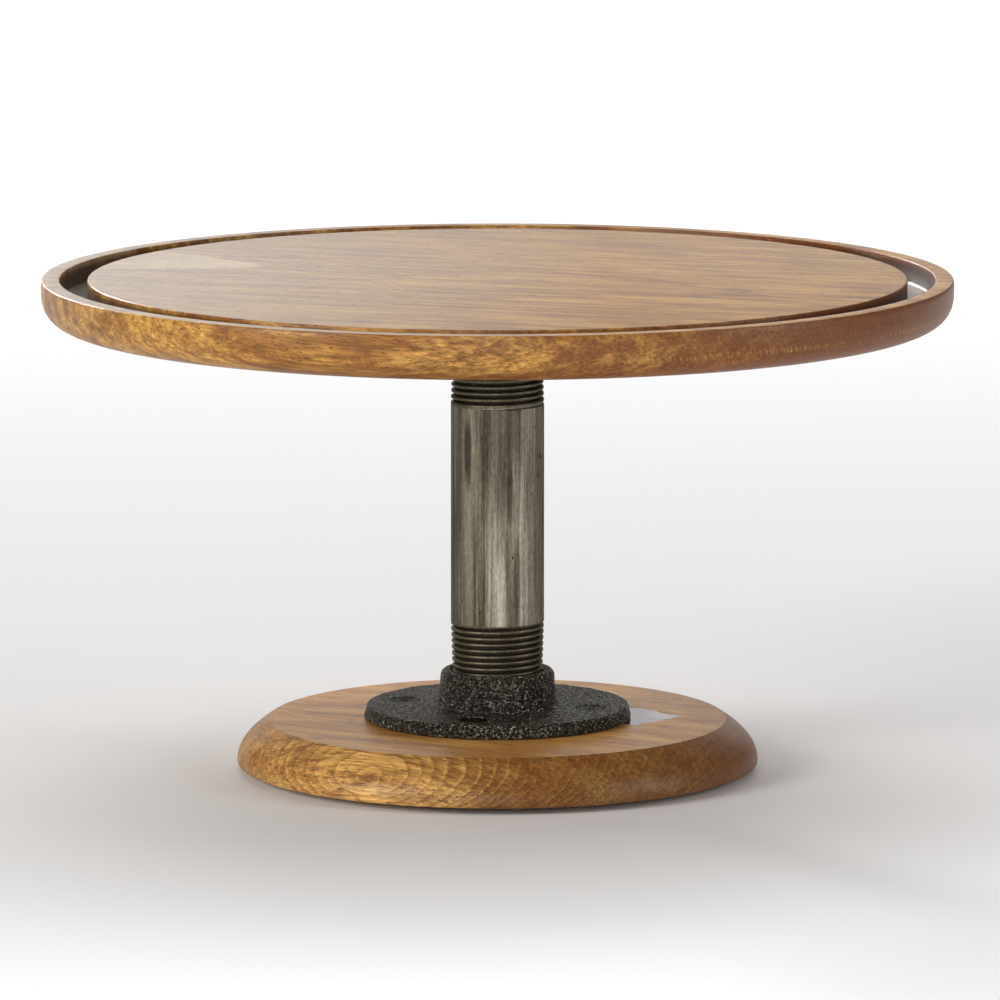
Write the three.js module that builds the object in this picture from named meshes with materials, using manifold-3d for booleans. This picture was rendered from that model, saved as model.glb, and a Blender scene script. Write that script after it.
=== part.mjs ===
// A cake stand: a routed round board on a threaded pipe between two cast floor flanges.
// Millimetres, +Z up. The origin is on the table, under the middle of the stand.
import * as THREE from "three";
import { mergeVertices } from "three/addons/utils/BufferGeometryUtils.js";
import Module from "manifold-3d";

const wasm = await Module();
wasm.setup();

// ---------------------------------------------------------------- driving dimensions

// Clearances
const SEAT_GAP = 0.3; // between faces that rest on each other
const THREAD_CLEARANCE = 0.3; // from the nipple's crests to a flange's bore, at its mouth
const PILOT_CLEARANCE = 0.3; // round and below a screw in the wood

// Tray: one board, with a groove for a dome routed inside its rim
const TRAY_RADIUS = 162.6;
const TRAY_THICKNESS = 16.3;
const TRAY_RIM_WIDTH = 6.6; // from the widest point to the groove
const TRAY_TOP_ROUND_WIDTH = 0.6;
const TRAY_TOP_ROUND_HEIGHT = 2.2;
const TRAY_UNDER_WIDTH = 10; // from the widest point in to the underside's edge
const TRAY_UNDER_HEIGHT = 11.6; // from the underside up to the widest point
const TRAY_UNDER_CORNER = 1.9; // height of the corner that this curve bends round
const GROOVE_WIDTH = 10;
const GROOVE_DEPTH = 8.4;
const GROOVE_CORNER = 1.5;

// Base: one board whose side swells out from a crisp top edge
const BASE_RADIUS = 93.4;
const BASE_THICKNESS = 16.2;
const BASE_SIDE_WIDTH = 11.4; // from the top edge out to the widest point
const BASE_SIDE_HEIGHT = 14.4; // from the top down to the widest point
const BASE_SIDE_CORNER = 7; // depth of the corner that the side bends round
const BASE_UNDER_ROUND = 1.2;

// Feet: rubber bumpers under the base
const FOOT_COUNT = 4;
const FOOT_RADIUS = 6.5;
const FOOT_HEIGHT = 2.2;
const FOOT_EDGE_ROUND = 0.7;
const FOOT_INSET = 22; // from the base's edge to a foot's middle

// Pipe nipple: a 1 inch steel pipe with a tapered thread at each end
const PIPE_RADIUS = 16.7;
const PIPE_WALL = 3.4;
const NIPPLE_LENGTH = 127;
const THREAD_LENGTH = 24.5;
const THREAD_PITCH = 25.4 / 11.5;
const THREAD_DEPTH = 1.55;
const THREAD_TAPER = 1 / 32; // radius lost per unit of length towards the tip
const THREAD_RUN_OUT = 4; // length over which the thread fades into the pipe
const TIP_CHAMFER = 1;
const LOWER_ENGAGED = 7; // length screwed into the lower flange
const UPPER_ENGAGED = 13.2;

// Floor flange: a drafted round plate with a hub
const FLANGE_RADIUS = 48;
const FLANGE_PLATE = 5;
const FLANGE_DRAFT = 0.9; // how far the plate's side leans in
const FLANGE_EDGE_ROUND = 0.8;
const FLANGE_HEIGHT = 17.8;
const HUB_WALL = 4;
const HUB_DRAFT = 0.5;
const HUB_FOOT_FILLET = 1.6;
const HUB_TOP_ROUND = 2.4;
const HUB_MOUTH_CHAMFER = 0.9;
const HOLE_COUNT = 4;
const HOLE_CIRCLE_RADIUS = 34.5;
const HOLE_RADIUS = 3.2;
const HOLE_PHASE = -14; // degrees from +X to the first hole

// Flat-head wood screw
const SCREW_LENGTH = 15;
const SCREW_SHANK_RADIUS = 2.5;
const SCREW_POINT = 4;
const SCREW_HEAD_RADIUS = 5;
const SCREW_HEAD_LIP = 0.3;
const SCREW_HEAD_SINK = 0.5; // from the plate's face down to the head
const RECESS_SPAN = 5;
const RECESS_WIDTH = 1.1;
const RECESS_DEPTH = 1.6;

// Facets in a full turn
const BOARD_FACETS = 72;
const FLANGE_FACETS = 48;
const PIPE_FACETS = 24;
const SMALL_FACETS = 16;
const ARC_STEPS = 5;

// A cutter reaches this far past the face that it cuts through
const OVERSHOOT = 1;

// ---------------------------------------------------------------- places and derived sizes

const boreRadius = threadRadius(Math.max(LOWER_ENGAGED, UPPER_ENGAGED), 0) + THREAD_CLEARANCE;
const countersinkRadius =
  SCREW_HEAD_RADIUS + SCREW_HEAD_SINK + SCREW_HEAD_LIP + SEAT_GAP * Math.SQRT2;

const baseLevel = FOOT_HEIGHT + SEAT_GAP;
const lowerSeatLevel = baseLevel + BASE_THICKNESS + SEAT_GAP;
const nippleLevel = lowerSeatLevel + FLANGE_HEIGHT - LOWER_ENGAGED;
const upperSeatLevel = nippleLevel + NIPPLE_LENGTH - UPPER_ENGAGED + FLANGE_HEIGHT;
const trayLevel = upperSeatLevel + SEAT_GAP;

// ---------------------------------------------------------------- finishes

const hardwood = { color: 0xa07850, roughness: 0.55, metalness: 0 };
const castIron = { color: 0x2e2c2a, roughness: 0.62, metalness: 0.6 };
const bareSteel = { color: 0x8d8c86, roughness: 0.42, metalness: 0.9 };
const blackScrew = { color: 0x1d1c1c, roughness: 0.45, metalness: 0.8 };
const rubber = { color: 0x161616, roughness: 0.85, metalness: 0 };

// ---------------------------------------------------------------- solid helpers

// A closed geometry as a solid that can be cut and joined.
function toSolid(geometry) {
  geometry.deleteAttribute("normal");
  geometry.deleteAttribute("uv");
  const merged = mergeVertices(geometry, 1e-4);
  const corners = merged.index.array;
  const triangles = [];
  for (let i = 0; i < corners.length; i += 3) {
    const [a, b, c] = corners.slice(i, i + 3);
    if (a !== b && b !== c && c !== a) triangles.push(a, b, c);
  }
  return new wasm.Manifold(
    new wasm.Mesh({
      numProp: 3,
      vertProperties: merged.attributes.position.array,
      triVerts: new Uint32Array(triangles),
    }),
  );
}

// A solid as a named mesh with its own material.
function piece(name, solid, finish) {
  const { vertProperties, triVerts } = solid.getMesh();
  const geometry = new THREE.BufferGeometry();
  geometry.setAttribute("position", new THREE.BufferAttribute(vertProperties, 3));
  geometry.setIndex(new THREE.BufferAttribute(triVerts, 1));
  geometry.computeVertexNormals();
  const mesh = new THREE.Mesh(geometry, new THREE.MeshStandardMaterial(finish));
  mesh.name = name;
  return mesh;
}

// Points on a curve that leaves its start towards a corner and reaches its end from there.
function bend(start, corner, end) {
  const curve = new THREE.QuadraticBezierCurve(
    new THREE.Vector2(...start),
    new THREE.Vector2(...corner),
    new THREE.Vector2(...end),
  );
  return curve.getPoints(ARC_STEPS + 1).map((point) => point.toArray());
}

// An outline of [radius, height] pairs turned about the Z axis.
function turned(outline, facets) {
  const points = outline.map(([radius, height]) => new THREE.Vector2(radius, height));
  return new THREE.LatheGeometry(points, facets).rotateX(Math.PI / 2);
}

// Points on a quarter ellipse about (radius, height), from one angle to another in degrees.
function arc(radius, height, width, rise, from, to) {
  return Array.from({ length: ARC_STEPS + 1 }, (_, i) => {
    const angle = THREE.MathUtils.degToRad(from + ((to - from) * i) / ARC_STEPS);
    return [radius + width * Math.cos(angle), height + rise * Math.sin(angle)];
  });
}

const seatedAt = (level) => new THREE.Matrix4().makeTranslation(0, 0, level);
const hungFrom = (level) => seatedAt(level).multiply(new THREE.Matrix4().makeRotationX(Math.PI));

// ---------------------------------------------------------------- screws and their holes

// Places of a flange's holes, in the flange's own frame.
const holePlaces = Array.from({ length: HOLE_COUNT }, (_, i) => {
  const angle = THREE.MathUtils.degToRad(HOLE_PHASE + (360 * i) / HOLE_COUNT);
  return [HOLE_CIRCLE_RADIUS * Math.cos(angle), HOLE_CIRCLE_RADIUS * Math.sin(angle)];
});

// One copy of a cutter at each hole, moved into the frame of the piece that it cuts.
function cutAtHoles(solid, makeCutter, place) {
  return holePlaces.reduce((rest, [x, y]) => {
    const cutter = makeCutter().translate(x, y, 0).applyMatrix4(place);
    return rest.subtract(toSolid(cutter));
  }, solid);
}

// The cross recess in a screw's head, as a plus-shaped prism.
function crossRecess() {
  const arm = RECESS_SPAN / 2;
  const half = RECESS_WIDTH / 2;
  const quarter = [
    [arm, -half],
    [arm, half],
    [half, half],
  ];
  const corners = [];
  for (let turn = 0; turn < 4; turn++) {
    const angle = (turn * Math.PI) / 2;
    for (const [x, y] of quarter) {
      corners.push(new THREE.Vector2(x, y).rotateAround(new THREE.Vector2(), angle));
    }
  }
  const depth = RECESS_DEPTH + OVERSHOOT;
  const prism = new THREE.ExtrudeGeometry(new THREE.Shape(corners), { depth, bevelEnabled: false });
  return prism.translate(0, 0, -RECESS_DEPTH);
}

// A flat-head screw pointing down, with the top of its head at z = 0.
function screwSolid() {
  const cone = SCREW_HEAD_RADIUS - SCREW_SHANK_RADIUS;
  const blank = turned(
    [
      [0, -SCREW_LENGTH],
      [SCREW_SHANK_RADIUS, SCREW_POINT - SCREW_LENGTH],
      [SCREW_SHANK_RADIUS, -SCREW_HEAD_LIP - cone],
      [SCREW_HEAD_RADIUS, -SCREW_HEAD_LIP],
      [SCREW_HEAD_RADIUS, 0],
      [0, 0],
    ],
    SMALL_FACETS,
  );
  return toSolid(blank).subtract(toSolid(crossRecess()));
}

// The hole that a screw makes in a board, in the frame of the flange that it holds.
function pilotHole() {
  const radius = SCREW_SHANK_RADIUS + PILOT_CLEARANCE;
  const bottom = FLANGE_PLATE - SCREW_HEAD_SINK - SCREW_LENGTH - PILOT_CLEARANCE;
  return turned(
    [
      [0, bottom],
      [radius, bottom + SCREW_POINT],
      [radius, OVERSHOOT],
      [0, OVERSHOOT],
    ],
    SMALL_FACETS,
  );
}

// The countersunk hole in a flange's plate.
function countersink() {
  return turned(
    [
      [0, -OVERSHOOT],
      [HOLE_RADIUS, -OVERSHOOT],
      [HOLE_RADIUS, FLANGE_PLATE - (countersinkRadius - HOLE_RADIUS)],
      [countersinkRadius, FLANGE_PLATE],
      [countersinkRadius, FLANGE_PLATE + OVERSHOOT],
      [0, FLANGE_PLATE + OVERSHOOT],
    ],
    SMALL_FACETS,
  );
}

// ---------------------------------------------------------------- flange

// The cast flange, standing on its plate at z = 0 with its hub up.
function flangeSolid() {
  const plateTop = FLANGE_RADIUS - FLANGE_DRAFT;
  const hubFoot = boreRadius + HUB_WALL + HUB_DRAFT;
  const hubTop = boreRadius + HUB_WALL;
  const mouth = boreRadius + HUB_MOUTH_CHAMFER;
  const casting = turned(
    [
      [boreRadius, 0],
      [FLANGE_RADIUS - FLANGE_EDGE_ROUND, 0],
      [FLANGE_RADIUS, FLANGE_EDGE_ROUND],
      [plateTop, FLANGE_PLATE - FLANGE_EDGE_ROUND],
      [plateTop - FLANGE_EDGE_ROUND, FLANGE_PLATE],
      [hubFoot + HUB_FOOT_FILLET, FLANGE_PLATE],
      [hubFoot, FLANGE_PLATE + HUB_FOOT_FILLET],
      ...arc(hubTop - HUB_TOP_ROUND, FLANGE_HEIGHT - HUB_TOP_ROUND, HUB_TOP_ROUND, HUB_TOP_ROUND, 0, 90),
      [mouth, FLANGE_HEIGHT],
      [boreRadius, FLANGE_HEIGHT - HUB_MOUTH_CHAMFER],
      [boreRadius, 0],
    ],
    FLANGE_FACETS,
  );
  return cutAtHoles(toSolid(casting), countersink, new THREE.Matrix4());
}

// A flange with its four screws, as one group that sits on or hangs from a board.
function flangeGroup(side, place) {
  const group = new THREE.Group();
  group.add(piece(`${side}_flange`, flangeSolid(), castIron));
  holePlaces.forEach(([x, y], i) => {
    const screw = piece(`${side}_screw_${i + 1}`, screwSolid(), blackScrew);
    screw.position.set(x, y, FLANGE_PLATE - SCREW_HEAD_SINK);
    group.add(screw);
  });
  group.applyMatrix4(place);
  return group;
}

// ---------------------------------------------------------------- boards and feet

// The tray, with its underside at z = 0.
function traySolid() {
  const top = TRAY_THICKNESS;
  const floor = TRAY_THICKNESS - GROOVE_DEPTH;
  const grooveOuter = TRAY_RADIUS - TRAY_RIM_WIDTH;
  const grooveInner = grooveOuter - GROOVE_WIDTH;
  const under = bend(
    [TRAY_RADIUS - TRAY_UNDER_WIDTH, 0],
    [TRAY_RADIUS, TRAY_UNDER_CORNER],
    [TRAY_RADIUS, TRAY_UNDER_HEIGHT],
  );
  const board = turned(
    [
      [0, 0],
      ...under,
      [TRAY_RADIUS, top - TRAY_TOP_ROUND_HEIGHT],
      [TRAY_RADIUS - TRAY_TOP_ROUND_WIDTH, top],
      [grooveOuter, top],
      [grooveOuter, floor + GROOVE_CORNER],
      [grooveOuter - GROOVE_CORNER, floor],
      [grooveInner + GROOVE_CORNER, floor],
      [grooveInner, floor + GROOVE_CORNER],
      [grooveInner, top],
      [0, top],
    ],
    BOARD_FACETS,
  );
  return cutAtHoles(toSolid(board), pilotHole, hungFrom(-SEAT_GAP));
}

// The base, with its underside at z = 0.
function baseSolid() {
  const side = bend(
    [BASE_RADIUS, BASE_THICKNESS - BASE_SIDE_HEIGHT],
    [BASE_RADIUS, BASE_THICKNESS - BASE_SIDE_CORNER],
    [BASE_RADIUS - BASE_SIDE_WIDTH, BASE_THICKNESS],
  );
  const board = turned(
    [
      [0, 0],
      [BASE_RADIUS - BASE_UNDER_ROUND, 0],
      [BASE_RADIUS, BASE_UNDER_ROUND],
      ...side,
      [0, BASE_THICKNESS],
    ],
    BOARD_FACETS,
  );
  return cutAtHoles(toSolid(board), pilotHole, seatedAt(BASE_THICKNESS + SEAT_GAP));
}

// One foot, standing on the table.
function footSolid() {
  const bumper = turned(
    [
      [0, 0],
      [FOOT_RADIUS - FOOT_EDGE_ROUND, 0],
      [FOOT_RADIUS, FOOT_EDGE_ROUND],
      [FOOT_RADIUS, FOOT_HEIGHT],
      [0, FOOT_HEIGHT],
    ],
    SMALL_FACETS,
  );
  return toSolid(bumper);
}

function feetGroup() {
  const group = new THREE.Group();
  const circle = BASE_RADIUS - FOOT_INSET;
  for (let i = 0; i < FOOT_COUNT; i++) {
    const angle = (2 * Math.PI * (i + 0.5)) / FOOT_COUNT;
    const foot = piece(`foot_${i + 1}`, footSolid(), rubber);
    foot.position.set(circle * Math.cos(angle), circle * Math.sin(angle), 0);
    group.add(foot);
  }
  return group;
}

// ---------------------------------------------------------------- pipe nipple

// One pitch of the thread: [share of the pitch, share of the full depth cut away].
const THREAD_FORM = [
  [0, 0],
  [0.36, 0],
  [0.62, 1],
  [0.74, 1],
];

// The thread's radius at a height above its tip, for a share of the full depth.
function threadRadius(height, cut) {
  const fromEnd = Math.max(THREAD_LENGTH - height, 0);
  const fade = Math.min(fromEnd / THREAD_RUN_OUT, 1);
  return PIPE_RADIUS - THREAD_TAPER * fromEnd - THREAD_DEPTH * cut * fade;
}

// A right-hand thread wound up the Z axis, reaching past both ends of the threaded length.
function helicalCore() {
  const stations = THREAD_FORM.length;
  const turns = Math.ceil(THREAD_LENGTH / THREAD_PITCH) + 3;
  const rows = turns * stations;
  // A row climbs one pitch in a turn, so it ends where the row one pitch above it starts.
  const at = (row, column) => {
    const [rise, cut] = THREAD_FORM[row % stations];
    const share = column / PIPE_FACETS;
    const height = THREAD_PITCH * (Math.floor(row / stations) + rise + share - 2);
    const point = new THREE.Vector3(threadRadius(height, cut), 0, height);
    return point.applyAxisAngle(new THREE.Vector3(0, 0, 1), 2 * Math.PI * share);
  };
  const foot = new THREE.Vector3(0, 0, at(0, 0).z);
  const head = new THREE.Vector3(0, 0, at(rows, PIPE_FACETS).z);
  const corners = [];
  for (let column = 0; column < PIPE_FACETS; column++) {
    for (let row = 0; row < rows; row++) {
      const [a, b] = [at(row, column), at(row, column + 1)];
      const [c, d] = [at(row + 1, column + 1), at(row + 1, column)];
      corners.push(a, b, c, a, c, d);
    }
    corners.push(foot, at(0, column + 1), at(0, column));
    corners.push(head, at(rows, column), at(rows, column + 1));
  }
  // Each end is a ramp, and a radial step of one pitch closes it.
  for (let row = 0; row < stations; row++) {
    corners.push(foot, at(row, 0), at(row + 1, 0));
    corners.push(head, at(rows - row, PIPE_FACETS), at(rows - row - 1, PIPE_FACETS));
  }
  return new THREE.BufferGeometry().setFromPoints(corners);
}

// The room that a threaded end may fill: chamfered at its tip, at z = 0.
function threadEnvelope() {
  const tip = threadRadius(0, 0) - TIP_CHAMFER;
  const wide = PIPE_RADIUS + OVERSHOOT;
  return turned(
    [
      [0, 0],
      [tip, 0],
      [wide, wide - tip],
      [wide, THREAD_LENGTH],
      [0, THREAD_LENGTH],
    ],
    PIPE_FACETS,
  );
}

function threadedEnd(place) {
  const core = toSolid(helicalCore().applyMatrix4(place));
  return core.intersect(toSolid(threadEnvelope().applyMatrix4(place)));
}

// A plain cylinder about the Z axis.
function rod(radius, from, to) {
  const outline = [
    [0, from],
    [radius, from],
    [radius, to],
    [0, to],
  ];
  return toSolid(turned(outline, PIPE_FACETS));
}

// The nipple, standing on its lower end at z = 0.
function nippleSolid() {
  return rod(PIPE_RADIUS, THREAD_LENGTH, NIPPLE_LENGTH - THREAD_LENGTH)
    .add(threadedEnd(seatedAt(0)))
    .add(threadedEnd(hungFrom(NIPPLE_LENGTH)))
    .subtract(rod(PIPE_RADIUS - PIPE_WALL, -OVERSHOOT, NIPPLE_LENGTH + OVERSHOOT));
}

// ---------------------------------------------------------------- the stand

// A piece lifted to its level above the table.
function raised(mesh, level) {
  mesh.position.z = level;
  return mesh;
}

const stand = new THREE.Group();
stand.add(feetGroup());
stand.add(raised(piece("base", baseSolid(), hardwood), baseLevel));
stand.add(flangeGroup("lower", seatedAt(lowerSeatLevel)));
stand.add(raised(piece("pipe_nipple", nippleSolid(), bareSteel), nippleLevel));
stand.add(flangeGroup("upper", hungFrom(upperSeatLevel)));
stand.add(raised(piece("tray", traySolid(), hardwood), trayLevel));

export default stand;
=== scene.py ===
import math

import bmesh
import bpy
from mathutils import Matrix, Vector, noise


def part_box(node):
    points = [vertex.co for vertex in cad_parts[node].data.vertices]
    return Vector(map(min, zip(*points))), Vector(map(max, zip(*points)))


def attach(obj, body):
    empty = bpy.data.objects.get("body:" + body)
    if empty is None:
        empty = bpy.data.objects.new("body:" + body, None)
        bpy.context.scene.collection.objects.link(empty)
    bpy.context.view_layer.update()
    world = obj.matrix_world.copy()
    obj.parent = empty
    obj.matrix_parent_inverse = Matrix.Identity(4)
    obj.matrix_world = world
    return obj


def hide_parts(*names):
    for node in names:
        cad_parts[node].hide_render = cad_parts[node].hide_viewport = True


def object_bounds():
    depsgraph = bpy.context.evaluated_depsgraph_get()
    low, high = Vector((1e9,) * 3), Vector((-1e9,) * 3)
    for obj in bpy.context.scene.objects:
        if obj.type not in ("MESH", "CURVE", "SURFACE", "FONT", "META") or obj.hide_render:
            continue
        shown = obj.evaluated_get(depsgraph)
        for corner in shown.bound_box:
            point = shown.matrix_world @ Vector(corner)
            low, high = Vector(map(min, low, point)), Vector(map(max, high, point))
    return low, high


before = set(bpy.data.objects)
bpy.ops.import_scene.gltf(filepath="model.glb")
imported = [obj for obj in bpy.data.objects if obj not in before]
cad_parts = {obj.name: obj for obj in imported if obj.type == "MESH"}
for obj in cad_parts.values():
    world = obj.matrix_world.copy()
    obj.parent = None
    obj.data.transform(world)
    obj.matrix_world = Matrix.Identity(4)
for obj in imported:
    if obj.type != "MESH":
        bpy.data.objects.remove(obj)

cad_low, cad_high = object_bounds()

MM = 0.001
FULL_TURN = 2 * math.pi

# ------------------------------------------------------------------ sizes, in metres

# Tray, as routed and sanded
RIM_WIDTH = 6.6 * MM  # from the widest point in to the groove
RIM_EDGE_WIDTH = 0.6 * MM
RIM_EDGE_HEIGHT = 2.2 * MM
RIM_INNER_EDGE = 0.35 * MM
TRAY_UNDER_WIDTH = 10 * MM
TRAY_UNDER_HEIGHT = 11.6 * MM
TRAY_UNDER_CORNER = 1.9 * MM
GROOVE_WIDTH = 10 * MM
GROOVE_DEPTH = 8.4 * MM
GROOVE_CORNER = 1.4 * MM
DISC_EDGE = 0.6 * MM

# Base, whose side swells out from a crisp top edge
BASE_SIDE_WIDTH = 11.4 * MM
BASE_SIDE_HEIGHT = 14.4 * MM
BASE_SIDE_CORNER = 7 * MM
BASE_UNDER_EDGE = 1.2 * MM

# Pipe nipple: 1 inch pipe, 11.5 threads an inch
THREAD_PITCH = 25.4 / 11.5 * MM
THREAD_LENGTH = 24.5 * MM
THREAD_DEPTH = 1.45 * MM
THREAD_TAPER = 1 / 32
THREAD_RUN_OUT = 2 * MM
TIP_CHAMFER = 1 * MM
PIPE_WALL = 3.4 * MM
BORE_CHAMFER = 0.5 * MM

# Cast flange
BORE_RADIUS = 16.56 * MM
PLATE = 5 * MM
PLATE_DRAFT = 0.9 * MM
PLATE_EDGE = 0.9 * MM
HUB_WALL = 4 * MM
HUB_DRAFT = 0.5 * MM
HUB_FILLET = 1.6 * MM
HUB_ROUND = 2.4 * MM
MOUTH_CHAMFER = 0.9 * MM
HOLE_RADIUS = 3.2 * MM
SINK_RADIUS = 6.2 * MM
PEBBLE_SIZE = 0.95 * MM
PEBBLE_HEIGHT = 0.2 * MM

# Flat-head wood screw
SCREW_CREST = 2.5 * MM
SCREW_CORE = 1.7 * MM
SCREW_PITCH = 1.8 * MM
SCREW_POINT = 4 * MM
SCREW_LIP = 0.3 * MM
SCREW_LIP_EDGE = 0.12 * MM
SCREW_NECK = 1.6 * MM  # plain length under the head
RECESS_SPAN = 5 * MM
RECESS_WIDTH = 1.1 * MM
RECESS_DEPTH = 1.6 * MM
PILOT_RADIUS = 2.8 * MM
PILOT_DEPTH = 10.5 * MM

# Rubber foot
FOOT_EDGE = 0.7 * MM
FOOT_DRAFT = 0.35 * MM

# Steps in a full turn, and the longest step along a fine outline
BOARD_STEPS = 288
PIPE_STEPS = 64
FLANGE_STEPS = 464
SMALL_STEPS = 40
SCREW_STEPS = 24
CAST_STEP = 0.45 * MM

# How far a cutter runs past the faces that it cuts, and how near two points are to be one
OVERSHOOT = 1 * MM
JOIN = 0.001 * MM


# ------------------------------------------------------------------ camera, floor and light

CAMERA_DISTANCE = 3.125
CAMERA_HEIGHT = 0.5686
CAMERA_ASIDE = 0.0009
CAMERA_PITCH = math.radians(8.571)
CAMERA_LENS = 318.0
FLOOR_HALF = 9.0


def add_camera():
    camera = bpy.data.cameras.new("camera")
    camera.lens = CAMERA_LENS
    camera.clip_start = 0.1
    camera.clip_end = 50
    holder = bpy.data.objects.new("camera", camera)
    holder.location = (CAMERA_ASIDE, -CAMERA_DISTANCE, CAMERA_HEIGHT)
    holder.rotation_euler = (math.pi / 2 - CAMERA_PITCH, 0, 0)
    bpy.context.scene.collection.objects.link(holder)
    bpy.context.scene.camera = holder


def add_light(name, place, aim, size, watts, colour=(1, 1, 1), spread=180):
    light = bpy.data.lights.new(name, "AREA")
    light.shape = "RECTANGLE"
    light.size, light.size_y = size
    light.energy = watts
    light.color = colour
    light.spread = math.radians(spread)
    holder = bpy.data.objects.new(name, light)
    holder.location = place
    holder.rotation_euler = (Vector(aim) - Vector(place)).to_track_quat("-Z", "Y").to_euler()
    bpy.context.scene.collection.objects.link(holder)


def add_lights():
    """A warm key from the left, soft fills, panels behind for the sheen on the tops, and two on the floor."""
    middle = (cad_low + cad_high) / 2
    above_left = (cad_low.x, 0, 1.5 * cad_high.z)
    add_light("key_left", (-1.7, -1.3, 0.85), middle, (0.9, 0.9), 31, (1, 0.985, 0.96))
    add_light("front_soft", (-0.3, -2.6, 0.55), middle, (0.7, 0.4), 12)
    add_light("right_soft", (1.6, -0.6, 0.6), middle, (0.5, 1.0), 9)
    add_light("top_soft", (0, 0.4, 2.1), middle, (1.4, 1.4), 6)
    add_light("back_panel", (0, 3.5, 0.85), (0, 0, 0.1), (3.4, 1.2), 11)
    add_light("back_left", (-0.78, 1.0, 0.6), above_left, (0.8, 0.16), 0.7, spread=13)
    add_light("floor_wash", (0, 2.7, 2.5), (0, 2.7, 0), (2.6, 2.6), 55, spread=125)
    add_light("floor_front", (0, -1.25, 1.7), (0, -1.25, 0), (2.6, 0.8), 13, spread=56)
    world = bpy.data.worlds.new("room")
    bpy.context.scene.world = world
    world.use_nodes = True
    background = world.node_tree.nodes["Background"]
    background.inputs["Color"].default_value = (1, 1, 1, 1)
    background.inputs["Strength"].default_value = 0.16
    bpy.context.scene.view_settings.view_transform = "Standard"


def add_floor():
    bm = bmesh.new()
    bmesh.ops.create_grid(bm, x_segments=1, y_segments=1, size=FLOOR_HALF)
    mesh = bpy.data.meshes.new("floor")
    bm.to_mesh(mesh)
    bm.free()
    floor = bpy.data.objects.new("floor", mesh)
    floor.location.z = cad_low.z
    bpy.context.scene.collection.objects.link(floor)
    graph = Graph("floor_paint")
    mesh.materials.append(graph.finish((0.9, 0.9, 0.9, 1), 0.9))


# ------------------------------------------------------------------ material graphs


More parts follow.
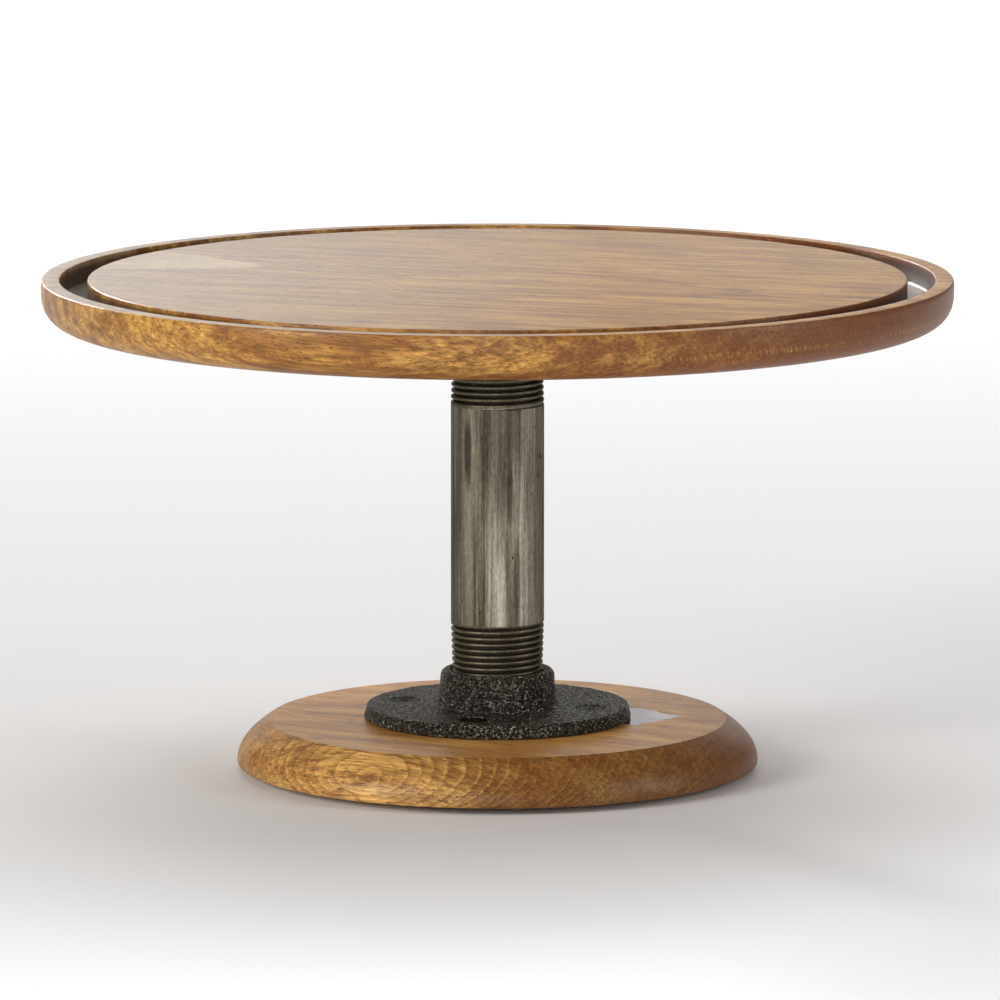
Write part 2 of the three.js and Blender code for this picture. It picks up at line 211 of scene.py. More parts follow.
class Graph:
    """A material's nodes, added one at a time and read from left to right."""

    def __init__(self, name):
        self.material = bpy.data.materials.new(name)
        self.material.use_nodes = True
        self.tree = self.material.node_tree
        self.shader = self.tree.nodes["Principled BSDF"]

    def node(self, kind, inputs=(), **settings):
        made = self.tree.nodes.new(kind)
        for key, value in settings.items():
            setattr(made, key, value)
        for key, value in dict(inputs).items():
            self.feed(made.inputs[key], value)
        return made

    def feed(self, socket, value):
        if isinstance(value, bpy.types.NodeSocket):
            self.tree.links.new(value, socket)
        else:
            socket.default_value = value

    def math(self, operation, *values):
        return self.node("ShaderNodeMath", enumerate(values), operation=operation).outputs[0]

    def vector(self, operation, *values):
        made = self.node("ShaderNodeVectorMath", enumerate(values), operation=operation)
        return made.outputs["Value" if operation in ("LENGTH", "DOT_PRODUCT") else "Vector"]

    def place(self):
        return self.node("ShaderNodeTexCoord").outputs["Object"]

    def facing(self):
        """The surface's normal in the piece's own frame."""
        return self.node("ShaderNodeTexCoord").outputs["Normal"]

    def attribute(self, name):
        return self.node("ShaderNodeAttribute", attribute_name=name).outputs["Fac"]

    def parts(self, vector):
        return self.node("ShaderNodeSeparateXYZ", {0: vector}).outputs

    def joined(self, x, y, z):
        return self.node("ShaderNodeCombineXYZ", {0: x, 1: y, 2: z}).outputs[0]

    def turned(self, vector, origin, angles):
        """The vector seen from an origin, in a frame turned by these Euler angles."""
        inputs = {"Vector": vector, "Location": origin, "Rotation": angles}
        return self.node("ShaderNodeMapping", inputs, vector_type="TEXTURE").outputs[0]

    def noise(self, vector, stretch, detail=2.0, rough=0.5, output="Fac"):
        """Noise whose features are this many to the metre along each axis."""
        if isinstance(stretch, tuple):
            inputs = {"Vector": vector, "Scale": stretch}
            vector = self.node("ShaderNodeMapping", inputs, vector_type="POINT").outputs[0]
            stretch = 1.0
        inputs = {"Vector": vector, "Scale": stretch, "Detail": detail, "Roughness": rough}
        return self.node("ShaderNodeTexNoise", inputs).outputs[output]

    def cells(self, vector, scale):
        inputs = {"Vector": vector, "Scale": scale}
        return self.node("ShaderNodeTexVoronoi", inputs).outputs["Distance"]

    def ramp(self, value, *stops):
        """Stops are (position, grey or colour)."""
        made = self.node("ShaderNodeValToRGB", {0: value})
        ramp = made.color_ramp
        while len(ramp.elements) < len(stops):
            ramp.elements.new(1.0)
        for element, (position, colour) in zip(ramp.elements, stops):
            element.position = position
            grey = isinstance(colour, (int, float))
            element.color = (colour,) * 3 + (1,) if grey else (*colour, 1)
        return made.outputs["Color"]

    def remap(self, value, low, high, new_low=0.0, new_high=1.0):
        inputs = {0: value, 1: low, 2: high, 3: new_low, 4: new_high}
        return self.node("ShaderNodeMapRange", inputs, clamp=True).outputs[0]

    def mix(self, share, first, second, blend="MIX"):
        made = self.node("ShaderNodeMix", data_type="RGBA", blend_type=blend)
        self.feed(made.inputs["Factor"], share)
        for index, colour in ((6, first), (7, second)):
            self.feed(made.inputs[index], (*colour, 1) if isinstance(colour, tuple) else colour)
        return made.outputs[2]

    def shaded(self, colour, tone):
        """The colour multiplied by a grey."""
        return self.mix(1.0, colour, self.joined(tone, tone, tone), "MULTIPLY")

    def bump(self, height, distance, strength=1.0):
        inputs = {"Height": height, "Distance": distance, "Strength": strength}
        return self.node("ShaderNodeBump", inputs).outputs[0]

    def finish(self, colour, roughness, metallic=0.0, normal=None, **uniform):
        """The finished material; uniform values go straight to the shader's own sockets."""
        self.feed(self.shader.inputs["Base Color"], colour)
        self.feed(self.shader.inputs["Roughness"], roughness)
        self.feed(self.shader.inputs["Metallic"], metallic)
        if normal is not None:
            self.feed(self.shader.inputs["Normal"], normal)
        for key, value in uniform.items():
            self.shader.inputs[key.replace("_", " ")].default_value = value
        return self.material


# ------------------------------------------------------------------ wood

# How deep the grain of each board is, and how strongly the lacquer over it reflects
TRAY_GRAIN = 0.15 * MM
BASE_GRAIN = 0.16 * MM
LACQUER = 0.28

# Stains shared by both boards
BROWN = (0.15, 0.054, 0.013)
RED_BROWN = (0.2, 0.062, 0.017)
PORE = (0.05, 0.017, 0.006)
PALE_LINE = (0.62, 0.37, 0.1)

# The tray's own
GOLD = (0.57, 0.305, 0.067)
AMBER = (0.28, 0.118, 0.021)
SAPWOOD = (0.8, 0.68, 0.5)
# A pale grey painted onto the tray's top as sheen
PAINTED_SHEEN = (0.66, 0.65, 0.62)

# The base's own
HONEY = (0.66, 0.37, 0.1)
TOFFEE = (0.42, 0.185, 0.036)
PALE_EYE = (0.85, 0.52, 0.17)
LATE_WOOD = (0.2, 0.075, 0.018)
DARK_HEART = (0.12, 0.036, 0.01)
KNOT_CRACK = (0.05, 0.012, 0.01)
KNOT_RED = (0.2, 0.08, 0.07)
KNOT_RESIN = (0.4, 0.27, 0.25)
KNOT_BRUISE = (0.07, 0.012, 0.01)


class Log:
    """The log that a board was sawn from: X runs up the trunk, and rings lie about the pith.

    The edge mask is 1 on a board's side and 0 on its flat faces that look up.
    """

    def __init__(self, graph, pith, lie, ring_width, wander):
        self.graph = graph
        self.place = graph.place()
        self.inside = graph.turned(self.place, pith, lie)
        sway = self.swayed((5, 16, 16), wander)
        tremble = self.swayed((40, 300, 300), 0.35 * ring_width)
        moved = graph.vector("ADD", self.inside, graph.vector("ADD", sway, tremble))
        out = graph.vector("LENGTH", graph.vector("MULTIPLY", moved, (0, 1, 1)))
        years = graph.math("DIVIDE", out, ring_width)
        uneven = graph.noise(graph.joined(years, 0, 0), (0.27, 0, 0), 1)
        self.years = graph.math("MULTIPLY_ADD", uneven, 1.6, years)
        self.facing = graph.facing()
        trunk = Matrix.Rotation(lie[2], 3, "Z") @ Matrix.Rotation(lie[1], 3, "Y") @ Vector((1, 0, 0))
        across = graph.math("ABSOLUTE", graph.vector("DOT_PRODUCT", self.facing, tuple(trunk)))
        self.end_grain = graph.remap(across, 0.35, 1.0)
        self.edge = graph.remap(graph.parts(self.facing)[2], 0.9, 0.98, 1, 0)

    def swayed(self, stretch, reach):
        graph = self.graph
        drift = graph.noise(self.inside, stretch, 2, output="Color")
        drift = graph.vector("SUBTRACT", drift, (0.5, 0.5, 0.5))
        return graph.vector("MULTIPLY", drift, (0, 2 * reach, 2 * reach))

    def season(self):
        """The share of a year's growth, and how dark that year's late wood is."""
        graph = self.graph
        year = graph.math("FLOOR", self.years)
        chance = graph.node("ShaderNodeTexWhiteNoise", {"W": year}, noise_dimensions="1D")
        return graph.math("FRACT", self.years), chance.outputs["Value"]

    def fibre(self):
        return self.graph.noise(self.inside, (30, 1100, 1100), 4, 0.65)

    def streak(self):
        return self.graph.noise(self.inside, (10, 210, 210), 3, 0.6)

    def figure(self):
        return self.graph.noise(self.inside, (26, 90, 90), 3, 0.6)

    def flecks(self):
        return self.graph.remap(self.graph.noise(self.inside, (90, 700, 700), 3, 0.7), 0.5, 0.64)

    def pores(self):
        return self.graph.remap(self.graph.noise(self.inside, (260, 2600, 2600), 1), 0.65, 0.7)


def lacquered(graph, log, colour, weight):
    """Fibre, flecks, pores and end grain under a satin lacquer."""
    fibre = log.fibre()
    pores = log.pores()
    depth = graph.remap(log.edge, 0, 1, 0.55, 1.8)
    grain = graph.math("MULTIPLY", graph.remap(fibre, 0.25, 0.75, -0.36, 0.36), depth)
    # Painted light: the sides are a tenth lighter than the faces that look up.
    colour = graph.shaded(colour, graph.math("ADD", grain, graph.remap(log.edge, 0, 1, 1.0, 1.1)))
    flecks = graph.math("MULTIPLY", log.flecks(), graph.remap(log.edge, 0, 1, 0.15, 0.7))
    flecks = graph.math("MULTIPLY", flecks, graph.remap(log.end_grain, 0, 1, 1.0, 0.4))
    colour = graph.mix(flecks, colour, BROWN)
    colour = graph.mix(graph.math("MULTIPLY", pores, 0.8), colour, PORE)
    colour = graph.shaded(colour, graph.remap(log.end_grain, 0, 1, 1.0, 0.7))
    rough = graph.remap(fibre, 0.2, 0.8, 0.31, 0.45)
    height = graph.math("MULTIPLY_ADD", weight, 0.5, graph.math("MULTIPLY", fibre, 0.8))
    height = graph.math("SUBTRACT", height, graph.math("MULTIPLY", pores, 0.8))
    return colour, rough, height


def tray_wood():
    """Golden hardwood, redder towards its heart, with painted shade low on its side and in its groove, a
    painted sheen on its top towards the left, and a tongue of sapwood.
    """
    graph = Graph("tray_wood")
    lie = (0, math.radians(3.5), math.radians(-19))
    log = Log(graph, (-0.09, 0.02, 0.105), lie, 0.0044, 0.006)
    season, chance = log.season()
    late = graph.ramp(season, (0, 0.5), (0.05, 0.1), (0.5, 0.2), (0.86, 0.55), (0.97, 1.0))
    late = graph.math("MULTIPLY", late, graph.remap(chance, 0, 1, 0.25, 1.0))
    figure = graph.remap(log.figure(), 0.42, 0.58, graph.remap(log.edge, 0, 1, 0.3, 0), 1)
    colour = graph.mix(graph.math("MULTIPLY", figure, graph.remap(log.edge, 0, 1, 0.7, 1)), GOLD, AMBER)
    colour = graph.mix(graph.math("MULTIPLY", late, 0.8), colour, BROWN)
    colour = graph.mix(graph.remap(log.streak(), 0.48, 0.7, 0, 0.85), colour, BROWN)
    x = graph.parts(log.place)[0]
    heart = graph.remap(graph.math("MULTIPLY_ADD", log.figure(), 0.16, x), 0.04, 0.17, 0, 0.95)
    colour = graph.mix(graph.math("MULTIPLY", heart, log.edge), colour, RED_BROWN)
    z = graph.parts(log.place)[2]
    # Painted shade: redder low on the side, where it turns under to face the floor, fading out towards the
    # far left.
    low = graph.remap(z, cad_high.z - 14.5 * MM, cad_high.z - 11.5 * MM, 0.55, 0)
    low = graph.math("MULTIPLY", low, graph.remap(x, -0.11, -0.03))
    colour = graph.mix(low, colour, RED_BROWN)
    # Painted sheen: the top paled towards grey on its left, where its lacquer reflects the light from behind.
    sheen_share = graph.remap(x, -0.15, 0.04, 0.5, 0)
    sheen_share = graph.math("MULTIPLY", sheen_share, graph.math("SUBTRACT", 1.0, log.edge))
    colour = graph.mix(sheen_share, colour, PAINTED_SHEEN)
    colour = graph.mix(sapwood_tongue(graph, log.place), colour, SAPWOOD)
    # Painted shade: the groove's walls and floor darkened, where shade falls.
    groove_shade_and_knot_stain = painted_groove_shade(graph, log.place)
    colour = graph.shaded(colour, graph.remap(groove_shade_and_knot_stain, 0, 1, 1.0, 0.34))
    ticks = cutter_ticks(graph, log.place)
    colour = graph.mix(graph.math("MULTIPLY", ticks, 0.45), colour, PALE_LINE)
    colour, rough, height = lacquered(graph, log, colour, late)
    normal = graph.bump(height, TRAY_GRAIN, 0.75)
    return graph.finish(colour, rough, normal=normal, Specular_IOR_Level=LACQUER)


def sapwood_tongue(graph, place):
    """A pointed pale tongue on the left of the board, its tip towards the middle."""
    along, across, _ = graph.parts(graph.turned(place, (-0.084, 0.03, 0), (0, 0, math.radians(158))))
    wave = graph.noise(place, (12, 60, 0), 2)
    across = graph.math("MULTIPLY_ADD", graph.math("SUBTRACT", wave, 0.5), 0.012, across)
    width = graph.math("MULTIPLY", graph.math("POWER", graph.math("MAXIMUM", along, 0), 0.75), 0.26)
    inside = graph.math("SUBTRACT", width, graph.math("ABSOLUTE", across))
    return graph.remap(inside, 0, 0.0016, 0, graph.remap(along, 0.03, 0.085, 0.42, 0.08))


def painted_groove_shade(graph, place):
    """Painted shade in the groove, below the level of the tray's top."""
    x, y, z = graph.parts(place)
    out = graph.vector("LENGTH", graph.joined(x, y, 0))
    outer = cad_high.x - RIM_WIDTH + 0.5 * MM
    inner = outer - GROOVE_WIDTH - 1.0 * MM
    ring = graph.remap(out, outer, outer + 0.4 * MM, 1, 0)
    ring = graph.math("MULTIPLY", ring, graph.remap(out, inner - 0.4 * MM, inner))
    below = graph.remap(z, cad_high.z - 2.2 * MM, cad_high.z - 0.9 * MM, 1, 0)
    above = graph.remap(z, cad_high.z - GROOVE_DEPTH - 0.6 * MM, cad_high.z - GROOVE_DEPTH - 0.3 * MM)
    return graph.math("MULTIPLY", ring, graph.math("MULTIPLY", below, above))


def cutter_ticks(graph, place):
    """Short pale marks that the cutter left in a band where the tray's side starts to turn under."""
    x, y, z = graph.parts(place)
    along = graph.math("MULTIPLY", graph.math("ARCTAN2", x, graph.math("MULTIPLY", y, -1)), cad_high.x)
    slant = graph.math("MULTIPLY_ADD", z, 0.45, along)
    tick = graph.noise(graph.joined(slant, 0, 0), (760, 0, 0), 2)
    patch = graph.noise(graph.joined(along, 0, 0), (16, 0, 0), 2)
    level = graph.math("MULTIPLY_ADD", patch, 2.4 * MM, cad_high.z - 10.6 * MM)
    band = graph.remap(graph.math("ABSOLUTE", graph.math("SUBTRACT", z, level)), 0.4 * MM, 1.5 * MM, 1, 0)
    outer = graph.remap(graph.vector("LENGTH", graph.joined(x, y, 0)), 0.155, 0.158)
    share = graph.math("MULTIPLY", graph.remap(tick, 0.46, 0.62), graph.remap(patch, 0.4, 0.55, 0.25, 1))
    return graph.math("MULTIPLY", share, graph.math("MULTIPLY", band, outer))


def base_wood():
    """The same hardwood sawn on the slant: narrow ring lines, a bird's eye at the left, and a filled knot."""
    graph = Graph("base_wood")
    lie = (0, 0, math.radians(-30))
    log = Log(graph, (0.008, 0.014, -0.093), lie, 0.0017, 0.0012)
    eye = graph.turned(log.place, (-0.045, -0.079, 0.0105), lie)
    eye = graph.vector("LENGTH", graph.vector("MULTIPLY", eye, (0.8, 1.0, 1.0)))
    swell = graph.math("EXPONENT", graph.math("MULTIPLY", eye, -1 / 0.017))
    log.years = graph.math("MULTIPLY_ADD", swell, 5.5, log.years)
    season, chance = log.season()
    line = graph.ramp(season, (0, 0.0), (0.08, 1.0), (0.14, 1.0), (0.26, 0.0))
    line = graph.math("MULTIPLY", line, graph.remap(chance, 0, 1, 0.1, 0.75))
    line = graph.math("MULTIPLY", line, graph.remap(eye, 0.018, 0.05, 1, 0.22))
    late = graph.ramp(season, (0.1, 0.15), (0.6, 0.45), (0.95, 1.0))
    late = graph.math("MULTIPLY", late, graph.remap(chance, 0, 1, 0.3, 0.9))
    late = graph.math("MULTIPLY", late, graph.remap(eye, 0.03, 0.07, 1, 0.6))
    colour = graph.mix(graph.remap(log.figure(), 0.38, 0.66), HONEY, TOFFEE)
    colour = graph.mix(graph.remap(eye, 0.012, 0.045, 0.5, 0), colour, PALE_EYE)
    colour = graph.mix(graph.math("MULTIPLY", late, 0.8), colour, LATE_WOOD)
    colour = graph.mix(graph.remap(log.streak(), 0.5, 0.72, 0, 0.7), colour, RED_BROWN)
    x = graph.parts(log.place)[0]
    heart = graph.remap(graph.math("MULTIPLY_ADD", log.figure(), 0.09, x), 0.0, 0.045, 0, 0.66)
    colour = graph.mix(graph.math("MULTIPLY", heart, log.edge), colour, DARK_HEART)
    # Painted shade: the right end darkened towards red-brown, where the tray above and the light from the
    # left leave it in shade.
    colour = graph.mix(graph.remap(x, 0.055, 0.088, 0, 0.6), colour, RED_BROWN)
    # Painted light: the faces that look up are three tenths lighter than the side.
    colour = graph.shaded(colour, graph.remap(log.edge, 0, 1, 1.3, 1.0))
    colour = graph.mix(line, colour, PALE_LINE)
    colour, rough, height = lacquered(graph, log, colour, late)
    colour, rough, height = resin_knot(graph, log.place, colour, rough, height)
    normal = graph.bump(height, BASE_GRAIN, 0.75)
    return graph.finish(colour, rough, normal=normal, Specular_IOR_Level=LACQUER)


def resin_knot(graph, place, colour, rough, height):
    """A knot hole beside the flange, filled flush with clear resin and polished by it."""
    middle = (0.0495, 0.002, 0)
    shaped = graph.vector("MULTIPLY", graph.vector("SUBTRACT", place, middle), (1 / 0.0165, 1 / 0.02, 0))
    wobble = graph.vector("SUBTRACT", graph.noise(place, (90, 90, 0), output="Color"), (0.5, 0.5, 0.5))
    wobble = graph.vector("MULTIPLY", wobble, (0.45, 0.45, 0))
    size = graph.vector("ABSOLUTE", graph.vector("ADD", shaped, wobble))
    reach = graph.vector("DOT_PRODUCT", size, (1, 1, 0))
    fill = graph.remap(reach, 0.98, 1.02, 1, 0)
    crack = graph.noise(place, (60, 240, 0), 2)
    groove_shade_and_knot_stain = graph.ramp(crack, (0.44, KNOT_CRACK), (0.49, KNOT_RED), (0.54, KNOT_RESIN))
    bruise = graph.math("MULTIPLY_ADD", crack, -0.03, graph.parts(place)[0])
    bruise = graph.remap(bruise, 0.035, 0.04, 0.85, 0)
    colour = graph.mix(fill, colour, graph.mix(bruise, groove_shade_and_knot_stain, KNOT_BRUISE))
    rough = graph.remap(fill, 0, 1, rough, 0.06)
    height = graph.math("MULTIPLY", height, graph.math("SUBTRACT", 1.0, fill))
    return colour, rough, height


# ------------------------------------------------------------------ metal and rubber

# Scaly marks and painted highlights on the pipe, seen from the front: (x, z, half width, half height, how
# bright); those brighter than 1 are painted highlights.
PIPE_MARKS_AND_HIGHLIGHTS = [
    (-10.5 * MM, 0.117, 1.4 * MM, 0.013, 0.25),
    (-10.0 * MM, 0.098, 5.0 * MM, 0.05, 0.75),
    (0.5 * MM, 0.126, 9.0 * MM, 0.026, 0.5),
    (4.5 * MM, 0.101, 1.8 * MM, 0.009, 0.5),
    (7.0 * MM, 0.07, 1.2 * MM, 0.016, 0.5),
    (9.5 * MM, 0.088, 1.6 * MM, 0.05, 1.6),
    (-3.0 * MM, 0.068, 5.5 * MM, 0.026, 1.8),
    (1.0 * MM, 0.062, 2.2 * MM, 0.016, 1.5),
]


def pipe_marks_and_highlights(graph, place, tone):
    """Scaly patches, and painted highlights on its front, long in the direction that the pipe was drawn."""
    x, y, z = graph.parts(place)
    ragged = graph.math("SUBTRACT", graph.noise(place, (500, 500, 16), 3, 0.6), 0.5)
    for across, up, width, height, bright in PIPE_MARKS_AND_HIGHLIGHTS:
        far_x = graph.math("DIVIDE", graph.math("SUBTRACT", x, across), width)
        far_z = graph.math("DIVIDE", graph.math("SUBTRACT", z, up), height)
        reach = graph.math("ADD", graph.math("POWER", far_x, 2), graph.math("POWER", far_z, 2))
        reach = graph.math("MULTIPLY_ADD", ragged, 3.0, reach)
        tone = graph.math("MULTIPLY", tone, graph.remap(reach, 0.4, 1.5, bright, 1.0))
    return tone


def pipe_steel():
    """Bare pipe steel: streaked along its length, with scaly patches, painted highlights on its front,
    painted shade at its sides, and painted shade in its threads.
    """
    graph = Graph("pipe_steel")
    place = graph.place()
    x = graph.parts(place)[0]
    broad = graph.noise(place, (130, 130, 9), 3, 0.55)
    streak = graph.noise(place, (460, 460, 12), 4, 0.65)
    hatch = graph.noise(place, (1500, 1500, 420), 2, 0.6)
    tone = graph.math("MULTIPLY_ADD", streak, 0.5, graph.math("MULTIPLY", broad, 0.5))
    tone = graph.remap(tone, 0.37, 0.65, 0.03, 0.32)
    tone = pipe_marks_and_highlights(graph, place, tone)
    tone = graph.math("MULTIPLY", tone, graph.remap(hatch, 0.3, 0.7, 0.72, 1.25))
    # Painted shade: the pipe darkened towards its left and right sides as seen from the front.
    tone = graph.math("MULTIPLY", tone, graph.remap(graph.math("ABSOLUTE", x), 0.0125, 0.0162, 1.0, 0.7))
    pit = graph.remap(graph.noise(place, (420, 420, 300), 1), 0.745, 0.77)
    tone = graph.math("MULTIPLY", tone, graph.remap(pit, 0, 1, 1.0, 0.1))
    colour = graph.ramp(
        tone,
        (0.0, (0.0, 0.0, 0.0)),
        (0.12, (0.145, 0.122, 0.088)),
        (0.4, (0.42, 0.4, 0.32)),
        (1.0, (0.97, 0.97, 0.88)),
    )
    # Painted shade in the threads, darkest deep in the groove, with a painted highlight line just below each
    # crest.
    cut = graph.ramp(
        graph.attribute("groove"),
        (0.0, (0.13, 0.113, 0.08)),
        (0.04, (0.12, 0.104, 0.074)),
        (0.07, (0.28, 0.255, 0.2)),
        (0.16, (0.12, 0.104, 0.074)),
        (0.8, (0.09, 0.076, 0.052)),
    )
    cut = graph.shaded(cut, graph.remap(hatch, 0.3, 0.7, 0.6, 1.4))
    colour = graph.mix(graph.remap(graph.attribute("threaded"), 0.02, 0.12), colour, cut)
    rough = graph.remap(streak, 0.35, 0.65, 0.5, 0.33)
    height = graph.math("MULTIPLY_ADD", hatch, 0.35, graph.math("MULTIPLY", streak, 0.5))
    height = graph.math("SUBTRACT", height, graph.math("MULTIPLY", pit, 0.8))
    normal = graph.bump(height, 0.08 * MM, 0.75)
    return graph.finish(colour, rough, 0.9, normal, Specular_Tint=(0.5, 0.5, 0.48, 1))


def cast_iron():
    """Sand-cast iron, blackened, its grains carrying painted glints."""
    graph = Graph("cast_iron")
    place = graph.place()
    grain = graph.noise(place, 1150, 2, 0.8)
    pebble = graph.cells(place, 1000)
    rub = graph.noise(place, 60, 3)
    # Painted glints: the brightest grains lightened towards a pale grey.
    colour = graph.ramp(
        grain,
        (0.42, (0.009, 0.008, 0.007)),
        (0.55, (0.075, 0.068, 0.055)),
        (0.64, (0.5, 0.46, 0.38)),
    )
    colour = graph.mix(graph.remap(rub, 0.4, 0.75, 0, 0.4), colour, (0.05, 0.044, 0.035))
    rough = graph.remap(grain, 0.4, 0.62, 0.5, 0.17)
    height = graph.math("SUBTRACT", graph.math("MULTIPLY", grain, 1.2), graph.math("MULTIPLY", pebble, 0.6))
    normal = graph.bump(height, 1.4 * MM)
    return graph.finish(colour, rough, 0.65, normal, Specular_Tint=(0.6, 0.6, 0.57, 1))


def black_oxide():
    """Blackened screw steel, rubbed at its high spots."""
    graph = Graph("black_oxide")
    wear = graph.noise(graph.place(), 900, 3)
    colour = graph.ramp(wear, (0.35, (0.01, 0.01, 0.009)), (0.75, (0.05, 0.047, 0.04)))
    rough = graph.remap(wear, 0.3, 0.7, 0.46, 0.28)
    normal = graph.bump(wear, 0.1 * MM, 0.8)
    return graph.finish(colour, rough, 0.85, normal, Specular_Tint=(0.4, 0.4, 0.38, 1))


def foot_rubber():
    """Matt black rubber with a little dust on it."""
    graph = Graph("foot_rubber")
    place = graph.place()
    dust = graph.noise(place, 260, 4)
    colour = graph.ramp(dust, (0.4, (0.012, 0.012, 0.012)), (0.8, (0.035, 0.033, 0.03)))
    rough = graph.remap(dust, 0.3, 0.7, 0.62, 0.85)
    normal = graph.bump(graph.noise(place, 2600), 0.05 * MM, 0.5)
    return graph.finish(colour, rough, 0.0, normal)


# ------------------------------------------------------------------ shop tools


def arc(radius, height, width, rise, start, stop, steps=10):
    """Points on an ellipse about (radius, height), between two angles in degrees."""
    points = []
    for i in range(steps + 1):
        angle = math.radians(start + (stop - start) * i / steps)
        points.append((radius + width * math.cos(angle), height + rise * math.sin(angle)))
    return points


def bent(start, corner, end, steps):
    """Points on the curve that leaves its start towards a corner and arrives from it."""
    points = []
    for i in range(steps + 1):
        t = i / steps
        weights = ((1 - t) ** 2, 2 * t * (1 - t), t**2)
        points.append(tuple(sum(w * p[k] for w, p in zip(weights, (start, corner, end))) for k in (0, 1)))
    return points


def stepped(points, longest):
    """The outline with points added, so that no step is longer than this."""
    fine = [points[0]]
    for start, end in zip(points, points[1:]):
        count = math.ceil(math.dist(start, end) / longest)
        fine += [tuple(a + (b - a) * i / count for a, b in zip(start, end)) for i in range(1, count + 1)]
    return fine


def chain(points, closed=False):
    """An outline of (radius, height) pairs as a chain of edges in the XZ plane."""
    bm = bmesh.new()
    verts = [bm.verts.new((radius, 0, height)) for radius, height in points]
    for first, second in zip(verts, verts[1:]):
        bm.edges.new((first, second))
    if closed:
        bm.edges.new((verts[-1], verts[0]))
    return bm


def doubled(bm, matrix, times):
    """Copies everything by a matrix, then all of that by its square, and so on, and joins the copies."""
    for _ in range(times):
        copied = bmesh.ops.duplicate(bm, geom=bm.verts[:] + bm.edges[:] + bm.faces[:])
        verts = [part for part in copied["geom"] if isinstance(part, bmesh.types.BMVert)]
        bmesh.ops.transform(bm, matrix=matrix, verts=verts)
        matrix = matrix @ matrix
    bmesh.ops.remove_doubles(bm, verts=bm.verts, dist=JOIN)


def turned(points, steps, closed=False):
    """An outline spun round Z into a skin: one sector is spun and then repeated round the axis."""
    doublings = 3
    share = FULL_TURN / 2**doublings
    bm = chain(points, closed)
    geometry = bm.verts[:] + bm.edges[:]
    bmesh.ops.spin(bm, geom=geometry, axis=(0, 0, 1), angle=share, steps=steps // 2**doublings)
    doubled(bm, Matrix.Rotation(share, 4, "Z"), doublings)
    bmesh.ops.recalc_face_normals(bm, faces=bm.faces)
    return bm


def wound(form, pitch, low, high, steps):
    """A thread's skin over a length: one pitch of (share, radius) wound once and then repeated upwards."""
    start = low - 2 * pitch
    bm = chain([(radius, start + share * pitch) for share, radius in form])
    geometry = bm.verts[:] + bm.edges[:]
    rise = (0, 0, pitch / steps)
    bmesh.ops.spin(bm, geom=geometry, axis=(0, 0, 1), dvec=rise, angle=FULL_TURN, steps=steps)
    turns = (high - low) / pitch + 4
    doubled(bm, Matrix.Translation((0, 0, pitch)), math.ceil(math.log2(turns)))
    return bm


def trimmed(bm, low, high):
    """Cuts off what lies below one level and above another."""
    for level, away in ((low, -1), (high, 1)):
        geometry = bm.verts[:] + bm.edges[:] + bm.faces[:]
        plane = {"plane_co": (0, 0, level), "plane_no": (0, 0, away)}
        bmesh.ops.bisect_plane(bm, geom=geometry, dist=1e-7, clear_outer=True, **plane)


def open_edges(bm, level):
    """The open edges of a skin at a level."""
    near = 1e-6
    return [e for e in bm.edges if e.is_boundary and all(abs(v.co.z - level) < near for v in e.verts)]


def added(bm, other):
    """Puts another mesh's geometry into this one."""
    spare = bpy.data.meshes.new("spare")
    other.to_mesh(spare)
    other.free()
    bm.from_mesh(spare)
    bpy.data.meshes.remove(spare)
    return bm


def loose(name, bm):
    mesh = bpy.data.meshes.new(name)
    bm.to_mesh(mesh)
    bm.free()
    made = bpy.data.objects.new(name, mesh)
    bpy.context.scene.collection.objects.link(made)
    return made


def carved(bm, *cutters):
    """A closed body after each cutter has been taken out of it."""
    body = loose("body", bm)
    tools = [loose("cutter", cutter) for cutter in cutters]
    for tool in tools:
        cut = body.modifiers.new("cut", "BOOLEAN")
        cut.operation = "DIFFERENCE"
        cut.solver = "EXACT"
        cut.object = tool
    result = bmesh.new()
    result.from_object(body, bpy.context.evaluated_depsgraph_get())
    for spent in (body, *tools):
        mesh = spent.data
        bpy.data.objects.remove(spent)
        bpy.data.meshes.remove(mesh)
    return result


def moved(bm, matrix):
    bmesh.ops.transform(bm, matrix=matrix, verts=bm.verts)
    return bm


def seat(level, hangs, x=0.0, y=0.0):
    """The place of something that stands on a level, or hangs from it."""
    lift = Matrix.Translation((x, y, level))
    return lift @ Matrix.Rotation(math.pi, 4, "X") if hangs else lift


def piece(name, bm, material, body, node, crisp=35):
    """A finished mesh as a piece that rides on a body and stands for a CAD node."""
    bmesh.ops.recalc_face_normals(bm, faces=bm.faces)
    for face in bm.faces:
        face.smooth = True
    for edge in bm.edges:
        edge.smooth = edge.is_manifold and edge.calc_face_angle(0) < math.radians(crisp)
    made = loose(name, bm)
    made.data.materials.append(material)
    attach(made, body)
    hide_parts(node)
    return made


# ------------------------------------------------------------------ boards


def pilot_drills(side, level):
    """Four drills, one for each screw of a flange, through a board's face at a level."""
    drills = bmesh.new()
    outline = [(0, -PILOT_DEPTH), (PILOT_RADIUS, -PILOT_DEPTH), (PILOT_RADIUS, OVERSHOOT), (0, OVERSHOOT)]
    for x, y in screw_places(side):
        added(drills, moved(turned(outline, SCREW_STEPS), seat(level, side == "upper", x, y)))
    return drills


